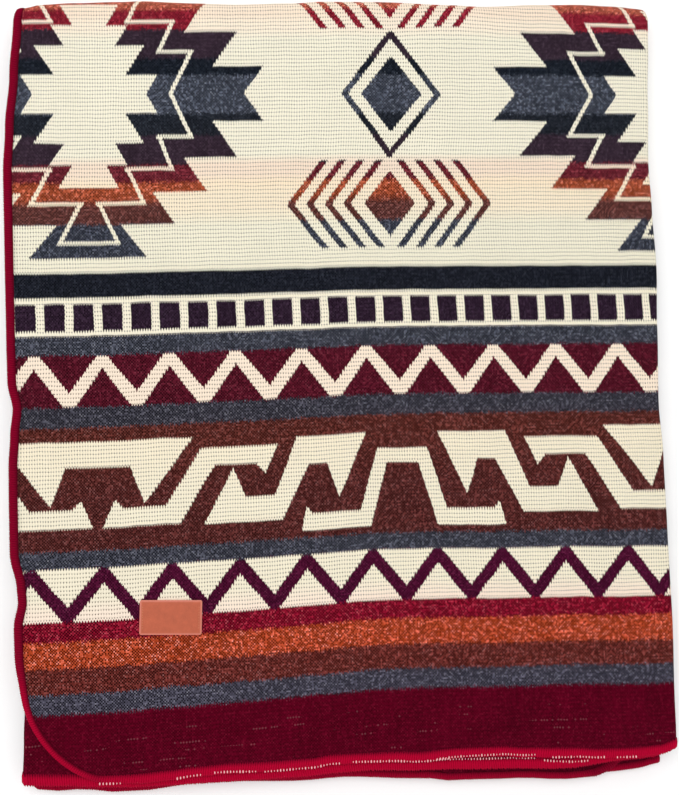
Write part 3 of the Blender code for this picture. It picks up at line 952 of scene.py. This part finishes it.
def edgingReach(column, row, point):  # in metres, and whether it is the bright yarn of a hem
    outwards, inwards, bright = edgeRoom, edging["over"], 0
    if row.fromHem == 0 and not row.turn:
        bright = 1
        if row.half < 0:
            outwards, bright = outwards - cloth["lowerHemNarrower"], edging["lowestHemBright"]
        else:
            turned = (1 - cos(column.turn)) / 2 if column.turn else 0
            inwards = mix(edging["overHem"], edging["overSecondHem"], min(column.layer + turned, 1))
    elif column.layer == 0:
        inwards = edging["overSide"]
    if column.layer == 0 and row.half > 0:
        away = hypot(point.x - edging["corner"][0], point.y - edging["corner"][1]) / edging["cornerRun"]
        atCorner = 1 - ease((away - edging["cornerFull"]) / (1 - edging["cornerFull"]))
        outwards -= edging["cornerNarrower"] * atCorner
        inwards = mix(inwards, edging["overSide"], atCorner)
        bright = mix(bright, edging["cornerBright"], atCorner)
    return Reach(outwards, inwards, bright)


def rimOf(grid, columns, rows):  # (place, outwards, up, reach) all the way round the cloth
    lastRow, lastColumn = len(grid) - 1, len(grid[0]) - 1
    path = [(0, j) for j in range(lastColumn)]
    path += [(i, lastColumn) for i in range(lastRow)]
    path += [(lastRow, j) for j in range(lastColumn, 0, -1)]
    path += [(i, 0) for i in range(lastRow, 0, -1)]
    turnedRows = [row.turn > 0 for row in rows]
    turnedColumns = [column.turn > 0 for column in columns]
    rim = []
    for k, (i, j) in enumerate(path):
        point = grid[i][j]
        inner = grid[min(max(i, 1), lastRow - 1)][min(max(j, 1), lastColumn - 1)]
        (a, b), (c, d) = path[k - 1], path[(k + 1) % len(path)]
        run = ((point - grid[a][b]).normalized() + (grid[c][d] - point).normalized()).normalized()
        out = (point - inner).normalized()
        if not any(turnedRows[max(i - 1, 0) : i + 2] + turnedColumns[max(j - 1, 0) : j + 2]):
            out = (out - out.dot(run) * run).normalized()
        reach = edgingReach(columns[j], rows[i], point)
        rim.append((point, out, run.cross(out).normalized(), reach))
    return rim


def yarnFinish():
    made, tree, shader = newFinish("edgingYarn", 0.85, 0.03)
    place = tree.nodes.new("ShaderNodeTexCoord").outputs["Object"]
    fuzz = added(tree, "ShaderNodeTexNoise", Vector=place, Scale=1600.0, Detail=3.0).outputs[0]
    # "crossing" runs from -1 at the inner side of the edging to 1 at its outer side
    crossing, look = [
        added(tree, "ShaderNodeAttribute", {"attribute_name": name}).outputs for name in ("crossing", "look")
    ]
    tint = blended(tree, look["Vector"], colour(edging["sideColour"]), colour(edging["hemColour"]))
    # painted shade towards the inner side, where the yarn meets the cloth
    inner = Value(crossing["Fac"]).scaled(*edging["innerShadeShare"], clamp=True)
    tint = blended(tree, inner, tint, colour(edging["innerShadeColour"]))
    tint = blended(tree, 1.0, tint, Value(fuzz).scaled(*edging["unevenness"]), "MULTIPLY")
    put(shader.inputs["Base Color"], tint)
    bumped(shader, fuzz, 0.15 * mm)
    return made


def carry(mesh, name, vectors):  # vectors on the points of a mesh
    for entry, value in zip(mesh.attributes.new(name, "FLOAT_VECTOR", "POINT").data, vectors):
        entry.vector = value


def edgingCore(rim, finish):
    half, sides = cloth["edgingThickness"] / 2 * edging["coreShrink"], edging["coreSides"]
    ring = [(cos(2 * pi * s / sides), sin(2 * pi * s / sides)) for s in range(sides)]
    points, faces = [], []
    for k, (point, out, up, reach) in enumerate(rim):
        middle, wide = (reach.outwards - reach.inwards) / 2, (reach.outwards + reach.inwards) / 2
        points += [point + out * (middle + wide * edging["coreShrink"] * c) + up * half * s for c, s in ring]
        base, following = k * sides, (k + 1) % len(rim) * sides
        for s in range(sides):
            t = (s + 1) % sides
            faces.append((base + s, base + t, following + t, following + s))
    mesh = meshFrom("edging_core", points, faces)
    bm = bmesh.new()
    bm.from_mesh(mesh)
    bmesh.ops.recalc_face_normals(bm, faces=bm.faces)
    bm.to_mesh(mesh)
    bm.free()
    for k, entry in enumerate(mesh.attributes.new("crossing", "FLOAT", "POINT").data):
        entry.value = ring[k % sides][0]
    carry(mesh, "look", [(reach.bright,) * 3 for point, out, up, reach in rim for s in range(sides)])
    mesh.materials.append(finish)
    mesh.shade_smooth()
    return linked(bpy.data.objects.new("edging_core", mesh))


def lineObject(name, places, steps):
    mesh = bpy.data.meshes.new(name)
    mesh.from_pydata(places, steps, [])
    return linked(bpy.data.objects.new(name, mesh))


class Nodes:  # a geometry node group under construction, with its named inputs
    def __init__(self, name, inputs):
        self.tree = bpy.data.node_groups.new(name, "GeometryNodeTree")
        for way in ("INPUT", "OUTPUT"):
            self.tree.interface.new_socket("Geometry", in_out=way, socket_type="NodeSocketGeometry")
        self.identifiers = {}
        for key, kind in inputs.items():
            socket = self.tree.interface.new_socket(key, in_out="INPUT", socket_type="NodeSocket" + kind)
            self.identifiers[key] = socket.identifier
        self.given = self.tree.nodes.new("NodeGroupInput").outputs
        self.result = self.tree.nodes.new("NodeGroupOutput")

    def add(self, kind, settings=None, **values):
        return added(self.tree, kind, settings, **values)

    def direction(self, key):
        node = self.add("GeometryNodeInputNamedAttribute", {"data_type": "FLOAT_VECTOR"}, Name=key)
        return node.outputs["Attribute"]

    def evenPoints(self):  # at even steps along the lines that come in
        curve = self.add("GeometryNodeMeshToCurve", Mesh=self.given["Geometry"])
        even = self.add("GeometryNodeResampleCurve", {"mode": "LENGTH"}, Curve=curve.outputs[0],
                        Length=self.given["Pitch"])
        return self.add("GeometryNodeCurveToPoints", {"mode": "EVALUATED"}, Curve=even.outputs[0]).outputs[0]

    def finish(self, placed):
        realized = self.add("GeometryNodeRealizeInstances", Geometry=placed.outputs[0])
        dressed = self.add("GeometryNodeSetMaterial", Geometry=realized.outputs[0],
                           Material=self.given["Material"])
        put(self.result.inputs["Geometry"], dressed.outputs[0])

    def apply(self, made, name, **values):
        modifier = made.modifiers.new(name, "NODES")
        modifier.node_group = self.tree
        for key, value in values.items():
            modifier[self.identifiers[key.replace("_", " ")]] = value
        made = settled(made, name)
        made.data.shade_smooth()
        return made


def wrapNodes():  # yarn laid over an edge at even steps along a path
    g = Nodes("wrapYarn", {
        "Pitch": "Float", "Reach": "Float", "Half Height": "Float", "Strand": "Float", "Sweep": "Float",
        "Slant": "Float", "Seed": "Int", "Material": "Material",
    })
    sweep, reach = g.given["Sweep"], g.given["Reach"]
    arc = g.add("GeometryNodeCurveArc", Resolution=7, Radius=1.0, Start_Angle=Value(sweep) * -0.5,
                Sweep_Angle=sweep)
    size = g.add("ShaderNodeCombineXYZ", X=reach, Y=g.given["Half Height"], Z=1.0)
    bent = g.add("GeometryNodeTransform", Geometry=arc.outputs[0], Scale=size.outputs[0])
    stood = g.add("GeometryNodeTransform", Geometry=bent.outputs[0], Rotation=(pi / 2, 0, pi / 2))
    section = g.add("GeometryNodeCurvePrimitiveCircle", Resolution=4, Radius=g.given["Strand"])
    body = g.add("GeometryNodeCurveToMesh", Curve=stood.outputs[0], Profile_Curve=section.outputs[0],
                 Fill_Caps=True)
    split = g.add("ShaderNodeSeparateXYZ", Vector=g.add("GeometryNodeInputPosition").outputs[0])
    crossing = Value(split.outputs[1]).calc("DIVIDE", reach)
    strand = g.add("GeometryNodeStoreNamedAttribute", {"data_type": "FLOAT", "domain": "POINT"},
                   Geometry=body.outputs[0], Name="crossing", Value=crossing)

    outwards = g.add("FunctionNodeAlignRotationToVector", {"axis": "Y"}, Vector=g.direction("out"))
    upright = g.add("FunctionNodeAlignRotationToVector", {"axis": "Z", "pivot_axis": "Y"},
                    Rotation=outwards.outputs[0], Vector=g.direction("up"))
    chance = g.add("FunctionNodeRandomValue", Seed=g.given["Seed"])
    for socket, limit in zip(chance.inputs[2:4], edging["leanLimits"]):
        socket.default_value = limit
    turn = g.add("ShaderNodeCombineXYZ", Z=Value(chance.outputs[1]) * g.given["Slant"])
    turned = g.add("FunctionNodeRotateRotation", {"rotation_space": "LOCAL"}, Rotation=upright.outputs[0],
                   Rotate_By=turn.outputs[0])
    g.finish(g.add("GeometryNodeInstanceOnPoints", Points=g.evenPoints(), Instance=strand.outputs[0],
                   Rotation=turned.outputs[0], Scale=g.direction("scale")))
    return g


yarn = yarnFinish()
rim = rimOf(grid, columns, rows)
core = edgingCore(rim, yarn)
halfWrap = (edgeRoom + edging["over"]) / 2 - edging["strand"] / 2
wrapHalves = [(reach.outwards + reach.inwards) / 2 - edging["strand"] / 2 for p, out, up, reach in rim]
path = lineObject(
    "edging_wraps", [p + out * (reach.outwards - reach.inwards) / 2 for p, out, up, reach in rim],
    [(k, (k + 1) % len(rim)) for k in range(len(rim))])
carry(path.data, "out", [out for p, out, up, reach in rim])
carry(path.data, "up", [up for p, out, up, reach in rim])
carry(path.data, "scale", [(1, half / halfWrap, 1) for half in wrapHalves])
carry(path.data, "look", [(reach.bright,) * 3 for p, out, up, reach in rim])
wraps = wrapNodes().apply(
    path, "edging_wraps", Pitch=edging["pitch"], Reach=halfWrap, Sweep=edging["sweep"], Strand=edging["strand"],
    Half_Height=cloth["edgingThickness"] / 2 - edging["strand"] / 4, Slant=edging["slant"],
    Seed=edging["seed"], Material=yarn)

# Pale stitches of its needle thread, which show here and there along the two upper hems

thread = {
    "pitch": 2.6 * mm,
    "size": (0.66 * mm, 1.4 * mm, 0.5 * mm),
    "colour": "F4B4B8",
    "smallest": 0.55,
    "seed": 3,
    # Layer, from and to across the blanket, and how far out from the cloth's edge at both ends, in mm
    "rows": (
        (0, -219, -203, 6.6, 6.4), (0, -156, -136, 6.3, 5.6), (0, -124, -89, 5.0, 6.5), (0, -81, -17, 7.0, 6.4),
        (0, -5, 78, 5.6, 7.4), (0, 68, 156, 6.4, 4.8), (0, 172, 217, 7.0, 6.0), (0, 229, 246, 6.6, 6.8),
        (1, 78, 156, -1.6, -1.9), (1, 165, 203, -0.1, 2.8),
    ),
}


def hemRim(rim, layer, count):  # the hem's part of the rim in a layer, from left to right
    layers = [column.layer for column in columns]
    chosen = [rim[j] for j in range(count) if layers[j] == layer and not columns[j].turn]
    return sorted(chosen, key=lambda entry: entry[0].x)


def overEdging(entry, outwards):  # a place on top of the edging
    point, out, up, reach = entry
    middle, half = (reach.outwards - reach.inwards) / 2, (reach.outwards + reach.inwards) / 2
    height = cloth["edgingThickness"] / 2 + edging["strand"]
    crossing = min(abs(outwards - middle) / half, 0.95)
    return point + out * outwards + up * (height * sqrt(1 - crossing * crossing) * (1 if up.z > 0 else -1))


def stitchPath(rim, count):
    places, steps = [], []
    for layer, start, end, first, last in thread["rows"]:
        hem = hemRim(rim, layer, count)
        begin = len(places)
        number = round((end - start) * mm / thread["pitch"])
        for k in range(number + 1):
            x = mix(start, end, k / number) * mm
            j = min(max(bisect_right([entry[0].x for entry in hem], x), 1), len(hem) - 1)
            share = (x - hem[j - 1][0].x) / (hem[j][0].x - hem[j - 1][0].x)
            outwards = mix(first, last, k / number) * mm
            places.append(overEdging(hem[j - 1], outwards).lerp(overEdging(hem[j], outwards), share))
        steps += [(k, k + 1) for k in range(begin, len(places) - 1)]
    return lineObject("edging_stitches", places, steps)


def stitchNodes():  # small stitches at even steps along lines
    g = Nodes("stitches", {
        "Pitch": "Float", "Size": "Vector", "Smallest": "Float", "Seed": "Int", "Material": "Material",
    })
    ball = g.add("GeometryNodeMeshUVSphere", Segments=8, Rings=5, Radius=1.0)
    stitch = g.add("GeometryNodeTransform", Geometry=ball.outputs[0], Scale=g.given["Size"])
    chance = g.add("FunctionNodeRandomValue", Seed=g.given["Seed"])
    put(chance.inputs[2], g.given["Smallest"])
    g.finish(g.add("GeometryNodeInstanceOnPoints", Points=g.evenPoints(), Instance=stitch.outputs[0],
                   Scale=chance.outputs[1]))
    return g


def threadFinish(name, code):
    made, tree, shader = newFinish(name, 0.8, 0.05)
    shader.inputs["Base Color"].default_value = colour(code)
    return made


stitchGroup = stitchNodes()
stitches = stitchGroup.apply(
    stitchPath(rim, len(columns)), "edging_stitches", Pitch=thread["pitch"], Size=thread["size"],
    Smallest=thread["smallest"], Seed=thread["seed"], Material=threadFinish("needleThread", thread["colour"]))
for piece in (core, wraps, stitches):
    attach(piece, "root")
    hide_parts("edge_binding")
print("edging made:", len(wraps.data.polygons), "faces of yarn")

# The leather label, plain

label = {
    "size": (52.8 * mm, 29.4 * mm),
    "thickness": 1.6 * mm,
    "centre": (-157.93 * mm, -191.86 * mm),
    "sunk": 0.3 * mm,  # below its solid's lower side
    "turn": radians(-2.5),
    "corner": 1.6 * mm,
    "bevel": 0.6 * mm,
    "colour": "B85C40",
    "tones": (0.8, 1.2),
    # painted highlight along the bevelled rim: its colour, width and strength
    "rimHighlightColour": "D88270",
    "rim": 1.7 * mm,
    "rimHighlightStrength": 1.2,
    "stitchesFromEnd": 2.6 * mm,
    "stitchesFromSide": 6.0 * mm,
    "stitchPitch": 2.1 * mm,
    "stitch": (0.3 * mm, 0.55 * mm, 0.25 * mm),
    "smallestStitch": 0.9,
    "stitchColour": "C98A68",
}


def leatherFinish():
    made, tree, shader = newFinish("leather", 0.62, 0.3)
    place = tree.nodes.new("ShaderNodeTexCoord").outputs["Object"]
    pebble = added(tree, "ShaderNodeTexVoronoi", Vector=place, Scale=1300.0)
    cloud = added(tree, "ShaderNodeTexNoise", Vector=place, Scale=240.0, Detail=5.0)
    tint = blended(tree, cloud.outputs[0], *[colour(label["colour"], tone) for tone in label["tones"]])
    flat = added(tree, "ShaderNodeUVMap", {"uv_map": "labelPlace"})
    split = added(tree, "ShaderNodeSeparateXYZ", Vector=flat.outputs[0])
    # painted highlight, lighter towards the label's edges
    fromEnd, fromSide = [label["size"][k] / 2 - abs(Value(split.outputs[k])) for k in (0, 1)]
    pale = fromEnd.calc("MINIMUM", fromSide).scaled(-1 / label["rim"], label["rimHighlightStrength"], clamp=True)
    put(shader.inputs["Base Color"], blended(tree, pale, tint, colour(label["rimHighlightColour"])))
    bumped(shader, pebble.outputs[0], 0.25 * mm)
    return made


def labelMatrix(height):  # from the label's own middle to its place on the cloth
    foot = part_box("leather_label")[0][2] - label["sunk"]
    return Matrix.Translation((*label["centre"], foot + height)) @ Matrix.Rotation(label["turn"], 4, "Z")


def leatherLabel():
    wide, high = label["size"]
    bm = bmesh.new()
    bmesh.ops.create_cube(bm, size=1, matrix=Matrix.Diagonal((wide, high, label["thickness"], 1)))
    upright = [e for e in bm.edges if abs(e.verts[0].co.z - e.verts[1].co.z) > label["thickness"] / 2]
    bmesh.ops.bevel(bm, geom=upright, offset=label["corner"], segments=5, profile=0.5, affect="EDGES")
    rimEdges = [e for e in bm.edges if all(v.co.z > 0 for v in e.verts) and len(e.link_faces) == 2]
    rimEdges = [e for e in rimEdges if any(abs(f.normal.z) < 0.5 for f in e.link_faces)]
    bmesh.ops.bevel(bm, geom=rimEdges, offset=label["bevel"], segments=3, profile=0.5, affect="EDGES")
    layout = bm.loops.layers.uv.new("labelPlace")
    for face in bm.faces:
        for loop in face.loops:
            loop[layout].uv = loop.vert.co.xy
    bmesh.ops.transform(bm, matrix=labelMatrix(label["thickness"] / 2), verts=bm.verts)
    bmesh.ops.recalc_face_normals(bm, faces=bm.faces)
    mesh = bpy.data.meshes.new("leather_label_body")
    bm.to_mesh(mesh)
    bm.free()
    mesh.materials.append(leatherFinish())
    mesh.shade_smooth()
    mesh.set_sharp_from_angle(angle=radians(50))
    return linked(bpy.data.objects.new("leather_label_body", mesh))


def labelStitchPath():  # a short line at each end of the label
    x = label["size"][0] / 2 - label["stitchesFromEnd"]
    y = label["size"][1] / 2 - label["stitchesFromSide"]
    place = labelMatrix(label["thickness"])
    places = [place @ Vector(corner) for corner in ((-x, -y, 0), (-x, y, 0), (x, -y, 0), (x, y, 0))]
    return lineObject("label_stitches", places, [(0, 1), (2, 3)])


labelPiece = leatherLabel()
labelStitches = stitchGroup.apply(
    labelStitchPath(), "label_stitches", Pitch=label["stitchPitch"], Size=label["stitch"],
    Smallest=label["smallestStitch"], Seed=1, Material=threadFinish("labelThread", label["stitchColour"]))
for piece in (labelPiece, labelStitches):
    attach(piece, "root")
    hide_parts("leather_label")
print("label made")
